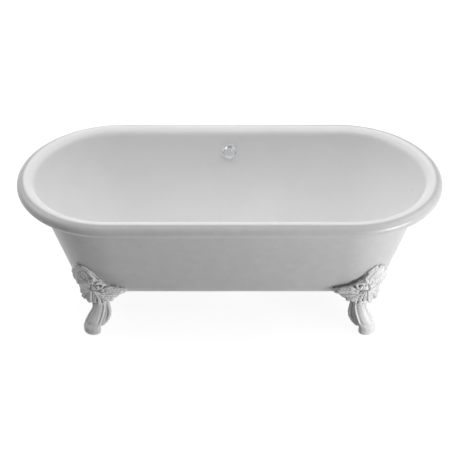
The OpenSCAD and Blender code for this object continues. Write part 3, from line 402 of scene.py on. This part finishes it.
def bath_mesh():
    points, index, outside_at = [], {}, []

    def vertex(key, p):
        index[key] = len(points)
        points.append(p)
        outside_at.append(outside_share(key[-1]))

    for i in range(COLUMNS + 1):
        x = -end_x + 2 * end_x * i / COLUMNS
        for j, (r, z) in enumerate(section):
            for side in (1, -1):
                if j in (0, LAST):
                    if side == 1:
                        vertex((i, 1, j), (x, 0.0, z))
                    index[(i, -1, j)] = index[(i, 1, j)]
                else:
                    vertex((i, side, j), (x, side * r, z))
    for end, column in ((-1, 0), (1, COLUMNS)):
        for k in range(AROUND + 1):
            a = pi / 2 - pi * k / AROUND
            for j, (r, z) in enumerate(section):
                key = ("end", end, k, j)
                if k == 0:
                    index[key] = index[(column, 1, j)]
                elif k == AROUND:
                    index[key] = index[(column, -1, j)]
                elif j in (0, LAST):
                    index[key] = index[(column, 1, j)]
                else:
                    vertex(key, (end * (end_x + r * cos(a)), r * sin(a), z))
    faces = {}
    for i in range(COLUMNS):
        for side in (1, -1):
            for j in range(LAST):
                quad = [index[(i, side, j)], index[(i + 1, side, j)], index[(i + 1, side, j + 1)],
                        index[(i, side, j + 1)]]
                faces[(i, side, j)] = quad if side == 1 else quad[::-1]
    for end in (-1, 1):
        for k in range(AROUND):
            for j in range(LAST):
                quad = [index[("end", end, k, j)], index[("end", end, k + 1, j)],
                        index[("end", end, k + 1, j + 1)], index[("end", end, k, j + 1)]]
                quad = [v for n, v in enumerate(quad) if v != quad[n - 1]]
                if len(quad) > 2:
                    faces[("end", end, k, j)] = quad if end == 1 else quad[::-1]

    def window(half_columns, rows):
        """Takes a block of faces out and returns the loop of points round it. rows lists (side, j)."""
        middle = COLUMNS // 2
        low, high = middle - half_columns, middle + half_columns
        for i in range(low, high):
            for (side_a, ja), (side_b, jb) in zip(rows, rows[1:]):
                side = side_b if jb not in (0, LAST) else side_a
                faces.pop((i, side, min(ja, jb)))
        bottom = [index[(i, *rows[0])] for i in range(low, high)]
        right = [index[(high, *row)] for row in rows[:-1]]
        top = [index[(i, *rows[-1])] for i in range(high, low, -1)]
        left = [index[(low, *row)] for row in rows[:0:-1]]
        return bottom + right + top + left

    def bored(inner_loop, outer_loop, rings, centre, across, up, out):
        """Joins two loops by rings [radius, height] round one axis."""
        angles = []
        for v in inner_loop:
            d = Vector(points[v]) - centre
            angles.append(atan2(d.dot(up), d.dot(across)))
        before = inner_loop
        for number, (r, h) in enumerate(rings):
            ring = []
            for a in angles:
                p = centre + across * (r * cos(a)) + up * (r * sin(a)) + out * h
                ring.append(len(points))
                points.append(tuple(p))
                outside_at.append(float(number > len(rings) * 0.55))
            strip(before, ring)
            before = ring
        strip(before, outer_loop)

    # The second pair of windows lowers the count of faces, so one key comes twice here and one
    # face on the underside beside the waste is lost
    def strip(a, b):
        n = len(a)
        for k in range(n):
            faces[("bore", len(faces), k)] = [a[k], a[(k + 1) % n], b[(k + 1) % n], b[k]]

    def floor_rows(first, step, count):
        near = [(-1, first + step * k) for k in range(count, 0, -1)]
        return near + [(1, first)] + [(1, first + step * k) for k in range(1, count + 1)]

    inner_floor = window(6, floor_rows(0, 1, 6))
    outer_floor = window(6, floor_rows(LAST, -1, 6))
    boss_r = flange_r + 11
    x_axis, y_axis, z_axis = Vector((1, 0, 0)), Vector((0, 1, 0)), Vector((0, 0, 1))

    def inner_level(r):
        return dish_z - sqrt((dish_radius - wall) ** 2 - r * r)

    def outer_level(r):
        return dish_z - sqrt(dish_radius**2 - r * r)

    recess = flange_r + 2
    drain_rings = (
        [(r, inner_level(r)) for r in (recess + 9, recess + 5, recess + 3)]
        + [(recess + 2.2 * (1 - sin(a)), inner_level(recess) - 2.2 * (1 - cos(a)))
           for a in (0.2, 0.6, 1.0, 1.4)]
        + [(recess - 0.2, seat_z + 0.4), (recess - 0.6, seat_z), (drain_r + 1, seat_z), (drain_r, seat_z - 1)]
        + [(drain_r, drain_boss_z + 1), (drain_r + 1, drain_boss_z), (boss_r - 2, drain_boss_z)]
        + [(boss_r - 2 + 2 * sin(a), drain_boss_z + 2 - 2 * cos(a)) for a in (0.5, 1.0, pi / 2)]
        + [(boss_r + 3 - 3 * sin(a), outer_level(boss_r) - 3 + 3 * cos(a)) for a in (1.2, 0.8, 0.4)]
        + [(boss_r + 4.5, outer_level(boss_r + 4.5))]
    )
    bored(inner_floor, outer_floor, drain_rings, Vector((0, 0, 0)), x_axis, y_axis, z_axis)

    def nearest_row(span, z):
        return min(span, key=lambda j: abs(section[j][1] - z))

    inner_span = range(len(dish(wall)) + TURN_STEPS, len(inside))
    outer_start = len(joined(inside, top_side, under))
    outer_span = range(outer_start, outer_start + WALL_STEPS + 8)
    a = nearest_row(inner_span, overflow_z)
    b = nearest_row(outer_span, overflow_z)
    inner_loop = window(4, [(1, j) for j in range(a - 3, a + 4)])
    outer_loop = window(4, [(1, j) for j in range(b + 3, b - 4, -1)])
    hole = overflow_hole_r
    hole_rings = [(hole + 3, 0), (hole + 1, 0), (hole, -1)]
    hole_rings += [(hole, -wall + 1), (hole + 1, -wall), (hole + 3, -wall)]
    bored(inner_loop, outer_loop, hole_rings, overflow_at, x_axis, overflow_up, overflow_out)

    # Lugs for the foot bolts stand under the turn of the bottom as rounded bosses
    kept = list(faces.values())
    for sx in (-1, 1):
        for sy in (-1, 1):
            cx = sx * (end_x + lug_q * cos(foot_azimuth))
            cy = sy * lug_q * sin(foot_azimuth)
            line = [(0, lug_z), (lug_r - 2, lug_z)]
            line += [(lug_r - 2 + 2 * sin(t), lug_z + 2 - 2 * cos(t)) for t in (0.5, 1.0, pi / 2)]
            line += [(lug_r, turn_z - bottom_radius + 22), (0, turn_z - bottom_radius + 22)]
            ps, fs = turned(line, 48)
            start = len(points)
            points.extend((cx + p[0], cy + p[1], p[2]) for p in ps)
            outside_at.extend(1.0 for _ in ps)
            kept += [[start + v for v in f] for f in fs]

    # The casting isn't true to a hair: long, shallow waves, less on the floor round the waste
    moved = []
    for x, y, z in points:
        p = Vector((x, y, z))
        wave = noise.noise(p / LONG_WAVE + Vector((3.1, 7.7, 1.3))) + 0.5 * noise.noise(p / SHORT_WAVE)
        keep = min(1.0, max(0.0, (hypot(x, y) - 70) / 120)) if z < floor_z + 12 else 1.0
        keep *= min(1.0, max(0.0, ((p - overflow_at).length - 48) / 90))
        keep *= min(1.0, max(0.05, (bath_height - z) / 160))
        over = abs(x) - end_x
        away = Vector((0, y, 0)) if over <= 0 else Vector(((over if x > 0 else -over), y, 0))
        push = WAVE_HEIGHT * wave * keep if away.length > 60 else 0.0
        # No wave carries the rim past its real size
        if hypot(away.x, away.y) > half_width - 2:
            push = min(0.0, push)
        moved.append(p + away.normalized() * push if push else p)
    return moved, kept, outside_at


shell_points, shell_faces, shell_outside = bath_mesh()
shell = solid("bath_shell", shell_points, shell_faces, ENAMEL, sharp=CREASE_ANGLE)
shell.data.attributes.new("outside", "FLOAT", "POINT").data.foreach_set("value", shell_outside)
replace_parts(shell, "tub_shell")

# Feet. Each is the CAD foot's own mesh, remeshed finely and carved. A foot has its own frame:
# across runs round the bath towards its end, out leads away from the end centre, up is Z.
leg_height = lug_z + 10

# Stations down the leg, as in the source: share of its height, place across, distance out from
# the lug, half width and half depth
leg_panel = [
    (1.00, -22, 57, 27, 22), (0.82, -19, 61, 29, 22), (0.66, -13, 67, 32, 23), (0.52, -6, 76, 36, 24),
    (0.36, 2, 88, 38, 25), (0.22, 6, 97, 39, 27), (0.07, 5, 97, 39, 28),
]
leg_scroll = [
    (1.00, -16, 41, 40, 14), (0.60, -16, 36, 46, 14), (0.45, -15, 40, 46, 14), (0.32, -10, 51, 42, 14),
    (0.20, -6, 66, 34, 13),
]

# Fingers of the leaf: root, bend and tip (across, up), then half width and how far they stand out
leaf_fingers = [
    ((6, 244), (24, 276), (54, 309), 12, 7.0),
    ((16, 240), (50, 272), (82, 298), 12, 10.5),
    ((22, 234), (68, 256), (108, 278), 11, 8.0),
    ((24, 224), (78, 235), (128, 250), 11, 11.0),
    ((24, 216), (78, 213), (147, 221), 11, 8.5),
    ((24, 206), (76, 194), (132, 190), 12, 10.5),
    ((-34, 208), (-62, 217), (-90, 212), 9, 9.0),
    ((-38, 200), (-72, 203), (-116, 191), 9, 11.5),
    ((-38, 190), (-66, 184), (-98, 172), 10, 8.5),
    ((-34, 184), (-58, 172), (-82, 158), 9, 11.0),
    ((20, 206), (52, 190), (74, 164), 11, 10.0),
    ((17, 203), (44, 176), (58, 144), 10, 13.0),
    ((10, 205), (27, 172), (34, 136), 9, 9.5),
    ((3, 207), (10, 176), (13, 146), 7, 12.0),
    ((-5, 207), (-6, 176), (-7, 148), 7, 9.0),
    ((-12, 206), (-24, 178), (-27, 148), 8, 12.0),
    ((-20, 203), (-42, 178), (-48, 150), 9, 9.5),
]
leaf_rolls = [
    ([(56, 311), (40, 303), (26, 294), (14, 284)], 5.5, 9.0),
    ([(26, 288), (14, 276), (6, 266), (-2, 254)], 5.0, 10.5),
    ([(-16, 242), (-30, 241), (-38, 232), (-34, 221), (-24, 220), (-20, 228)], 5.5, 11.0),
    ([(26, 250), (34, 262), (46, 262), (50, 250), (42, 241), (32, 243)], 5.0, 10.0),
    ([(14, 236), (24, 242), (36, 238), (38, 226), (28, 219), (18, 223)], 5.0, 11.0),
    ([(-42, 235), (-62, 229), (-82, 218), (-100, 204), (-116, 191)], 4.5, 9.0),
    ([(-44, 196), (-60, 190), (-80, 184), (-96, 180)], 3.5, 8.0),
    ([(-46, 140), (-40, 148), (-28, 154), (-12, 156), (6, 154), (22, 149), (34, 142)], 5.0, 9.5),
]
leaf_floor = -5.0
eye_at, eye_r, eye_depth = (-2, 233), 5.5, 14.0
lobe_length = 11.5
lobe_height = 3.6
vein_depth = 2.4
vein_r = 1.5
flute_period = 19.0
flute_height = 1.7

# Height where the leg ends and the leaf begins, with the length of the change
leaf_start = 142
leaf_change = 8


def along_path(points, a, z):
    """Distance of many places from a path, and how far along it the nearest point lies (0 to 1)."""
    best = np.full(a.shape, 1e9)
    share = np.zeros(a.shape)
    lengths = [hypot(q[0] - p[0], q[1] - p[1]) for p, q in zip(points, points[1:])]
    done = 0.0
    for (p, q), length in zip(zip(points, points[1:]), lengths):
        t = ((a - p[0]) * (q[0] - p[0]) + (z - p[1]) * (q[1] - p[1])) / length**2
        t = np.clip(t, 0, 1)
        d = np.hypot(a - p[0] - t * (q[0] - p[0]), z - p[1] - t * (q[1] - p[1]))
        near = d < best
        best = np.where(near, d, best)
        share = np.where(near, (done + t * length) / sum(lengths), share)
        done += length
    return best, share


def bent(root, bend, tip, steps=8):
    out = []
    for k in range(steps + 1):
        t = k / steps
        out.append(tuple((1 - t) ** 2 * r + 2 * t * (1 - t) * (2 * b - (r + e) / 2) + t * t * e
                         for r, b, e in zip(root, bend, tip)))
    return out


def station(stations, z):
    """Place across, distance out, half width and half depth of the leg at many heights."""
    heights = np.array([s[0] * leg_height for s in stations])[::-1]
    return [np.interp(z, heights, np.array([s[k] for s in stations])[::-1]) for k in (1, 2, 3, 4)]


def carving(a, q, z, facing):
    """How far each point of a foot moves along its normal."""
    leaf = np.full(a.shape, leaf_floor)
    for root, bend, tip, width, proud in leaf_fingers:
        d, t = along_path(bent(root, bend, tip), a, z)
        half = width * (0.42 + 0.72 * np.sin(t * 2.2 + 0.2))
        side = np.clip(d / half, 0, 1)
        length = hypot(tip[0] - root[0], tip[1] - root[1])
        lobes = np.sin(2 * pi * (t * length / lobe_length - side * 0.6))
        shape = proud * np.sqrt(1 - side**2) + leaf_floor + lobe_height * lobes * side * (1 - side)
        shape -= vein_depth * np.exp(-((d / vein_r) ** 2)) * np.clip(t * 3, 0, 1)
        leaf = np.where(d < half, np.maximum(leaf, shape), leaf)
    for path, width, proud in leaf_rolls:
        d, t = along_path(path, a, z)
        side = np.clip(d / width, 0, 1)
        leaf = np.where(d < width, np.maximum(leaf, proud * np.sqrt(1 - side**2) + leaf_floor), leaf)
    eye = np.hypot(a - eye_at[0], z - eye_at[1])
    leaf = leaf - eye_depth * np.exp(-((eye / eye_r) ** 4))
    ca, cq, half_w, half_d = station(leg_panel, z)
    turn = np.degrees(np.arctan2((q - lug_q - cq) / half_d, (a - ca) / half_w))

    def band(centre, spread, power=2):
        return np.exp(-(np.abs((turn - centre) / spread) ** power))

    low = np.clip((64 - z) / 12, 0, 1)
    leg = (3.2 * band(88, 34) - 1.0 * band(92, 54, 6)) * (1 - low)
    leg += 2.0 * band(152, 8) * np.clip((z - 44) / 12, 0, 1) - 1.6 * band(138, 6) * (1 - low)
    leg += 2.4 * band(38, 8) * np.clip((z - 40) / 12, 0, 1) - 1.8 * band(52, 6) * (1 - low)
    leg += 2.2 * band(92, 60, 4) * np.clip((50 - z) / 10, 0, 1) * np.clip(z / 14, 0, 1)
    crease = z - 62 + 10 * np.cos(np.radians(np.clip(turn - 92, -80, 80)) * 1.3)
    leg -= 0.8 * np.exp(-((crease / 4.5) ** 2)) * band(96, 50, 4)
    for toe in (62, 92, 122):
        leg -= 0.9 * band(toe, 5) * np.clip((36 - z) / 12, 0, 1)
    sa = station(leg_scroll, z)[0]
    aside = np.clip((np.abs(a - ca) - half_w * 0.9) / 4, 0, 1) * np.clip((lug_q + cq - 4 - q) / 5, 0, 1)
    flutes = flute_height * np.cos(2 * pi * (a - sa) / flute_period + 0.6)
    leg = leg * (1 - aside) + flutes * aside
    upper = np.clip((z - leaf_start) / leaf_change, 0, 1)
    return (leaf * upper + leg * (1 - upper)) * np.clip(facing * 2.2 + 0.35, 0, 1)


def foot_frame(side_x, side_y):
    a = foot_azimuth
    out = Vector((side_x * cos(a), side_y * sin(a), 0))
    across = Vector((side_x * sin(a), -side_y * cos(a), 0))
    return Vector((side_x * end_x, 0, 0)), across, out


def ring_tube(path, radius, sides=10):
    """Points and faces of a closed round bar along a path in the foot's frame."""
    points, faces = [], []
    for i, p in enumerate(path):
        ahead = (Vector(path[min(i + 1, len(path) - 1)]) - Vector(path[max(i - 1, 0)])).normalized()
        right = ahead.cross(Vector((0.3, 1, 0.2))).normalized()
        up = right.cross(ahead)
        r = radius * min(1.0, 0.35 + 0.25 * i, 0.35 + 0.25 * (len(path) - 1 - i))
        for k in range(sides):
            t = 2 * pi * k / sides
            points.append(tuple(Vector(p) + right * (r * cos(t)) + up * (r * sin(t))))
    for i in range(len(path) - 1):
        for k in range(sides):
            m = (k + 1) % sides
            faces.append((i * sides + k, i * sides + m, (i + 1) * sides + m, (i + 1) * sides + k))
    faces.append(tuple(range(sides))[::-1])
    faces.append(tuple((len(path) - 1) * sides + k for k in range(sides)))
    return points, faces


def leg_edge(stations, turn, low, high, steps=22):
    path = []
    for k in range(steps + 1):
        z = low + (high - low) * k / steps
        ca, cq, w, d = [float(v[0]) for v in station(stations, np.array([z]))]
        path.append((ca + (w - 3) * cos(turn), lug_q + cq + (d - 2) * sin(turn), z))
    return path


def carved_foot():
    """The front left foot in its own frame: points, faces, and how deep or proud each point lies."""
    source = frame["nodes"]["foot_front_left"].data
    centre, across, out = foot_frame(-1, -1)
    points = []
    for v in source.vertices:
        p = v.co / MM - centre
        points.append((p.dot(across), p.dot(out), p.z))
    faces = [tuple(f.vertices) for f in source.polygons]
    for path, radius in (
        (leg_edge(leg_panel, radians(150), 52, 148), 5.0),
        (leg_edge(leg_panel, radians(34), 60, 146), 3.6),
        (leg_edge(leg_scroll, radians(150), 44, 140), 4.5),
        (leg_edge(leg_scroll, radians(30), 44, 140), 4.5),
    ):
        ps, fs = ring_tube(path, radius)
        faces += [tuple(len(points) + v for v in f) for f in fs]
        points += ps
    mesh = bpy.data.meshes.new("foot_rough")
    mesh.from_pydata(points, [], faces)
    rough = bpy.data.objects.new("foot_rough", mesh)
    bpy.context.scene.collection.objects.link(rough)
    remesh = rough.modifiers.new("even", "REMESH")
    remesh.mode = "VOXEL"
    remesh.voxel_size = FOOT_VOXEL
    soften = rough.modifiers.new("soften", "SMOOTH")
    soften.factor = 0.5
    soften.iterations = SOFTEN_ROUNDS
    done = bpy.data.meshes.new_from_object(rough.evaluated_get(bpy.context.evaluated_depsgraph_get()))
    bpy.data.objects.remove(rough)
    count = len(done.vertices)
    co = np.empty(count * 3)
    done.vertices.foreach_get("co", co)
    co = co.reshape(-1, 3)
    normal = np.array([v.normal[:] for v in done.vertices])
    moved = carving(co[:, 0], co[:, 1], co[:, 2], normal[:, 1])
    carved = co + normal * moved[:, None]
    carved[:, 2] = np.maximum(carved[:, 2], 0.0)
    low = co[:, 2] < 2.0
    carved[low] = co[low]
    done.vertices.foreach_set("co", carved.ravel())
    done.update()
    edges = np.array([e.vertices[:] for e in done.edges])
    mean = carved.copy()
    for _ in range(LEVEL_ROUNDS):
        total = mean.copy()
        number = np.ones(count)
        for x, y in ((0, 1), (1, 0)):
            np.add.at(total, edges[:, x], mean[edges[:, y]])
            np.add.at(number, edges[:, x], 1)
        mean = total / number[:, None]
    normal = np.array([v.normal[:] for v in done.vertices])
    level = ((carved - mean) * normal).sum(axis=1)
    polygons = [tuple(f.vertices) for f in done.polygons]
    bpy.data.meshes.remove(done)
    return carved, polygons, level


def place_foot(name, side_x, side_y, carved, polygons, level):
    centre, across, out = foot_frame(side_x, side_y)
    turn = np.array([across[:], out[:], (0, 0, 1)])
    places = carved @ turn + np.array(centre[:])
    faces = polygons if side_x * side_y > 0 else [f[::-1] for f in polygons]
    foot = solid(name, places.tolist(), faces, CASTING)
    # hollow marks recesses that the paint darkens as painted shade with some grime; proud marks parts that it
    # makes lighter
    for label, values in (("hollow", np.clip((-level - 0.2) / 1.5, 0, 1)),
                          ("proud", np.clip((level - 0.2) / 1.4, 0, 1))):
        layer = foot.data.attributes.new(label, "FLOAT", "POINT")
        layer.data.foreach_set("value", values.astype(np.float32))
    return foot


# Size of the foot's cells in millimetres, rounds of softening before it is carved, and rounds of
# averaging that tell what is hollow from what is proud
FOOT_VOXEL = 1.5
SOFTEN_ROUNDS = 12
LEVEL_ROUNDS = 10

carved, polygons, level = carved_foot()
for name, side_x, side_y in (("front_left", -1, -1), ("front_right", 1, -1),
                             ("rear_left", -1, 1), ("rear_right", 1, 1)):
    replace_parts(place_foot("foot_" + name + "_carved", side_x, side_y, carved, polygons, level),
                "foot_" + name)

# Finishes of the CAD nodes that keep their shape
FINISH = {"white_enamel": ENAMEL, "white_paint": CASTING, "zinc_steel": ZINC, "chrome_plate": CHROME,
          "raw_brass": BRASS, "black_rubber": RUBBER, "grey_sheath": SHEATH}
for part in frame["record"]["subparts"]:
    thing = frame["nodes"][part["node"]]
    for place in thing.material_slots:
        place.material = FINISH[part["material_slot"]]


# Floor, background, light and camera. The floor seen by the eye adds its own light to what falls
# on it, and from FADE_START to FADE_END metres from the origin it turns into the background.
FLOOR_SPREAD = 0.60
FLOOR_LIT = 0.22
FLOOR_GLOW = 0.90
FLOOR_HALF = 14.0
FADE_START = 1.5
FADE_END = 4.0

# The dark patch that glossy rays meet: where it lies, how dark it is, and where its edge runs
PATCH_TOWARDS = (0.0, 0.72, 0.69)
PATCH_COLOUR = 0.03
PATCH_OUTER = 0.70
PATCH_INNER = 0.84
WORLD_LIGHT = 0.0


def grey(level):
    return (level, level, level, 1)


def floor_paint():
    """White to the eye and fading to the background's white far out. It still shows the bath's shadow."""
    p = Paint("studio_floor")
    tree = p.tree
    tree.nodes.remove(p.shader)
    seen = p.node("ShaderNodeLightPath")
    spread = p.node("ShaderNodeBsdfDiffuse")
    spread.inputs["Color"].default_value = grey(FLOOR_SPREAD)
    lit = p.node("ShaderNodeBsdfDiffuse")
    lit.inputs["Color"].default_value = grey(FLOOR_LIT)
    glow = p.node("ShaderNodeEmission")
    glow.inputs["Strength"].default_value = FLOOR_GLOW
    both = p.node("ShaderNodeAddShader")
    p.link(lit.outputs[0], both.inputs[0])
    p.link(glow.outputs[0], both.inputs[1])
    distance = p.node("ShaderNodeVectorMath", operation="LENGTH")
    p.link(p.node("ShaderNodeNewGeometry").outputs["Position"], distance.inputs[0])
    fade = p.node("ShaderNodeMapRange")
    fade.inputs["From Min"].default_value = FADE_START
    fade.inputs["From Max"].default_value = FADE_END
    p.link(distance.outputs["Value"], fade.inputs["Value"])
    plain = p.node("ShaderNodeEmission")
    faded = p.node("ShaderNodeMixShader")
    p.link(fade.outputs["Result"], faded.inputs[0])
    p.link(both.outputs[0], faded.inputs[1])
    p.link(plain.outputs[0], faded.inputs[2])
    pick = p.node("ShaderNodeMixShader")
    either = p.node("ShaderNodeMath", operation="MAXIMUM")
    p.link(seen.outputs["Is Camera Ray"], either.inputs[0])
    p.link(seen.outputs["Is Glossy Ray"], either.inputs[1])
    also = p.node("ShaderNodeMath", operation="MAXIMUM")
    p.link(either.outputs[0], also.inputs[0])
    p.link(seen.outputs["Is Transmission Ray"], also.inputs[1])
    p.link(also.outputs[0], pick.inputs[0])
    p.link(spread.outputs[0], pick.inputs[1])
    p.link(faded.outputs[0], pick.inputs[2])
    p.link(pick.outputs[0], tree.nodes["Material Output"].inputs["Surface"])
    return p.material


def make_floor():
    mesh = bpy.data.meshes.new("studio_floor")
    s = FLOOR_HALF
    mesh.from_pydata([(-s, -s, 0), (s, -s, 0), (s, s, 0), (-s, s, 0)], [], [(0, 1, 2, 3)])
    mesh.materials.append(floor_paint())
    thing = bpy.data.objects.new("studio_floor", mesh)
    bpy.context.scene.collection.objects.link(thing)


def make_world():
    """White all round, but glossy rays meet a dark patch high up behind the bath."""
    world = bpy.data.worlds.new("studio")
    bpy.context.scene.world = world
    world.use_nodes = True
    tree = world.node_tree
    background = tree.nodes["Background"]
    path = tree.nodes.new("ShaderNodeLightPath")
    place = tree.nodes.new("ShaderNodeTexCoord")
    nearness = tree.nodes.new("ShaderNodeVectorMath")
    nearness.operation = "DOT_PRODUCT"
    nearness.inputs[1].default_value = PATCH_TOWARDS
    tree.links.new(place.outputs["Generated"], nearness.inputs[0])
    shade = tree.nodes.new("ShaderNodeMapRange")
    shade.inputs["From Min"].default_value = PATCH_OUTER
    shade.inputs["From Max"].default_value = PATCH_INNER
    tree.links.new(nearness.outputs["Value"], shade.inputs["Value"])
    dark = tree.nodes.new("ShaderNodeMath")
    dark.operation = "MULTIPLY"
    tree.links.new(shade.outputs["Result"], dark.inputs[0])
    tree.links.new(path.outputs["Is Glossy Ray"], dark.inputs[1])
    colour = tree.nodes.new("ShaderNodeMix")
    colour.data_type = "RGBA"
    colour.inputs["A"].default_value = grey(1)
    colour.inputs["B"].default_value = grey(PATCH_COLOUR)
    tree.links.new(dark.outputs[0], colour.inputs["Factor"])
    tree.links.new(colour.outputs["Result"], background.inputs["Color"])
    either = tree.nodes.new("ShaderNodeMath")
    either.operation = "MAXIMUM"
    tree.links.new(path.outputs["Is Camera Ray"], either.inputs[0])
    tree.links.new(path.outputs["Is Glossy Ray"], either.inputs[1])
    also = tree.nodes.new("ShaderNodeMath")
    also.operation = "MAXIMUM"
    tree.links.new(either.outputs[0], also.inputs[0])
    tree.links.new(path.outputs["Is Transmission Ray"], also.inputs[1])
    strength = tree.nodes.new("ShaderNodeMapRange")
    strength.inputs["To Min"].default_value = WORLD_LIGHT
    strength.inputs["To Max"].default_value = 1.0
    tree.links.new(also.outputs[0], strength.inputs["Value"])
    tree.links.new(strength.outputs["Result"], background.inputs["Strength"])


def lamp(name, place, aim, size, power, mirrored=True):
    """A rectangular lamp in metres and watts. One that isn't mirrored doesn't show in glossy pieces."""
    data = bpy.data.lights.new(name, "AREA")
    data.shape = "RECTANGLE"
    data.size, data.size_y = size
    data.energy = power
    thing = bpy.data.objects.new(name, data)
    bpy.context.scene.collection.objects.link(thing)
    thing.visible_glossy = mirrored
    thing.location = place
    thing.rotation_euler = (Vector(aim) - Vector(place)).to_track_quat("-Z", "Y").to_euler()


make_floor()
make_world()
lamp("back_light", (0.5, 4.0, 5.4), (0, 0, 0.4), (6.0, 4.0), 190, False)
lamp("top_light", (0.0, -1.6, 6.8), (0, 0, 0.4), (5.0, 4.0), 124, False)
lamp("left_light", (-4.6, 1.0, 4.4), (0, 0, 0.4), (3.5, 3.5), 104)
lamp("right_light", (3.8, 0.4, 4.0), (0, 0, 0.4), (2.4, 2.4), 62)
lamp("low_light", (2.9, -2.2, 0.45), (0.4, -0.2, 0.36), (1.6, 0.6), 76)
lamp("rear_light", (-0.6, 3.3, 0.6), (0, 0.3, 0.36), (2.4, 0.8), 20)

# The camera that matches the photo, with its tilt down in degrees and its lens in millimetres
CAMERA_TILT = 36.447
camera = bpy.data.objects.new("camera", bpy.data.cameras.new("camera"))
bpy.context.scene.collection.objects.link(camera)
camera.location = (0.0014, -3.4881, 2.9068)
camera.rotation_euler = (radians(90 - CAMERA_TILT), 0, 0)
camera.data.lens = 78.96
camera.data.sensor_width = 36.0
camera.data.clip_end = 60.0
bpy.context.scene.camera = camera
bpy.context.scene.view_settings.view_transform = "Standard"
